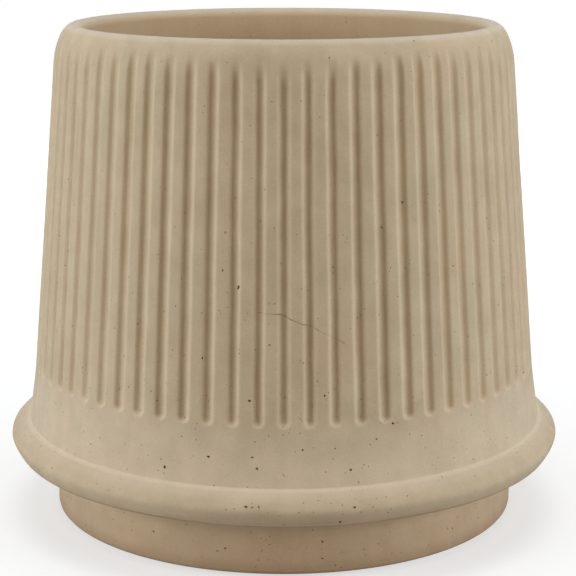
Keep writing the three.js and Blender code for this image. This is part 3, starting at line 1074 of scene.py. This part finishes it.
foot_pads = grow("rubber_foot_pads", pad_mesh, pad_ring, {
    "Pad Count": 4,
    "Ring Radius": pad_ring_radius,
    "Rubber": pad_rubber,
})
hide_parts("foot_pad_1", "foot_pad_2", "foot_pad_3", "foot_pad_4")
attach(foot_pads, "pot")


# Floor
# A plain pale floor that runs out of view on all sides and takes the pot's shadow.
# Only its picture is pale: what it throws back at the pot is a duller grey, as on a dark table.

FLOOR_REACH = 8.0
corners = [(x * FLOOR_REACH, y * FLOOR_REACH, 0) for x, y in ((-1, -1), (1, -1), (1, 1), (-1, 1))]
floor_mesh = bpy.data.meshes.new("floor")
floor_mesh.from_pydata(corners, [], [(0, 1, 2, 3)])
floor = put("floor", floor_mesh)


def seen_share(tree):
    """1 for what the eye sees, straight, mirrored or through glass, and 0 for light on its way."""
    rays = add_node(tree, "ShaderNodeLightPath", out=None).outputs
    seen = rays["Is Camera Ray"]
    for way in ("Is Glossy Ray", "Is Transmission Ray"):
        seen = add_node(tree, "ShaderNodeMath", (seen, rays[way]), operation="MAXIMUM")
    return seen


floor_paint = bpy.data.materials.new("pale_floor_paint")
look = bare_tree(floor_paint)
dull_paint = add_node(look, "ShaderNodeBsdfDiffuse", {"Color": linear("#A4A4A4")})
pale_paint = add_node(look, "ShaderNodeBsdfDiffuse", {"Color": linear("#B4B4B2")})
ground = add_node(look, "ShaderNodeTexCoord", out="Object")
away = add_node(look, "ShaderNodeVectorMath", (ground,), out="Value", operation="LENGTH")
glow_level = add_node(
    look, "ShaderNodeMapRange",
    {"Value": away, "From Min": 0.15, "From Max": 1.2, "To Min": 0.6, "To Max": 1.0},
    interpolation_type="SMOOTHSTEP",
)
glow = add_node(look, "ShaderNodeEmission", {"Color": linear("#FFFFFF"), "Strength": glow_level})
pale_paint = add_node(look, "ShaderNodeAddShader", (pale_paint, glow))
paint = add_node(look, "ShaderNodeMixShader", (seen_share(look), dull_paint, pale_paint))
add_node(look, "ShaderNodeOutputMaterial", {"Surface": paint}, out=None)
floor_mesh.materials.append(floor_paint)


# Studio light
# Two large soft boxes stand at the sides, one overhead and a weaker one behind. A small warm one
# fills in weakly from behind the camera, so that the flutes show darker cores between bright lands.

SOFT_BOXES = (
    ("left_soft_box", (-1.17, -0.43, 0.33), (0.8, 0.62), 11.6, "#F3F8FF"),
    ("right_soft_box", (1.17, -0.43, 0.33), (0.8, 0.62), 10.9, "#F3F8FF"),
    ("top_soft_box", (0.0, 0.0, 1.4), (1.0, 1.0), 11.9, "#F6FAFF"),
    ("back_soft_box", (0.0, 1.3, 0.45), (0.9, 0.7), 6.0, "#F6FAFF"),
    ("front_fill", (0.0, -1.5, 0.55), (0.6, 0.6), 3.3, "#FFDDA8"),
)
AIM = Vector((0, 0, 0.12))
for name, stand, (width, depth), power, tint in SOFT_BOXES:
    lamp = bpy.data.lights.new(name, "AREA")
    lamp.shape = "RECTANGLE"
    lamp.size = width
    lamp.size_y = depth
    lamp.energy = power
    lamp.color = linear(tint)[:3]
    soft_box = put(name, lamp)
    soft_box.location = stand
    soft_box.rotation_euler = (AIM - Vector(stand)).to_track_quat("-Z", "Y").to_euler()

room = bpy.data.worlds.new("white_room")
look = bare_tree(room)
level = add_node(look, "ShaderNodeMapRange", {"Value": seen_share(look), "To Min": 0.02, "To Max": 1.0})
air = add_node(look, "ShaderNodeBackground", {"Color": linear("#FFFFFF"), "Strength": level})
add_node(look, "ShaderNodeOutputWorld", {"Surface": air}, out=None)
bpy.context.scene.world = room


# Camera
# It stands in front of the pot and a little above the rim, tilted down, as in the photo. Distance,
# height and tilt come from the photo's perspective: circles of the rim, crease, flutes and foot.

IMAGE_SIZE = 576
FOCAL_PIXELS = 1721.5
AXIS_COLUMN = 284.0
CAMERA_DISTANCE = 860.75
CAMERA_HEIGHT = 307.95
CAMERA_TILT = 13.03
camera_data = bpy.data.cameras.new("photo_camera")
camera_data.sensor_width = 36.0
camera_data.lens = FOCAL_PIXELS / IMAGE_SIZE * camera_data.sensor_width
camera_data.shift_x = (IMAGE_SIZE / 2 - AXIS_COLUMN) / IMAGE_SIZE
camera = put("photo_camera", camera_data)
camera.location = (0, -CAMERA_DISTANCE * MM, (CAMERA_HEIGHT + foot_lift) * MM)
camera.rotation_euler = (math.radians(90 - CAMERA_TILT), 0, 0)
bpy.context.scene.camera = camera
bpy.context.scene.view_settings.view_transform = "Standard"
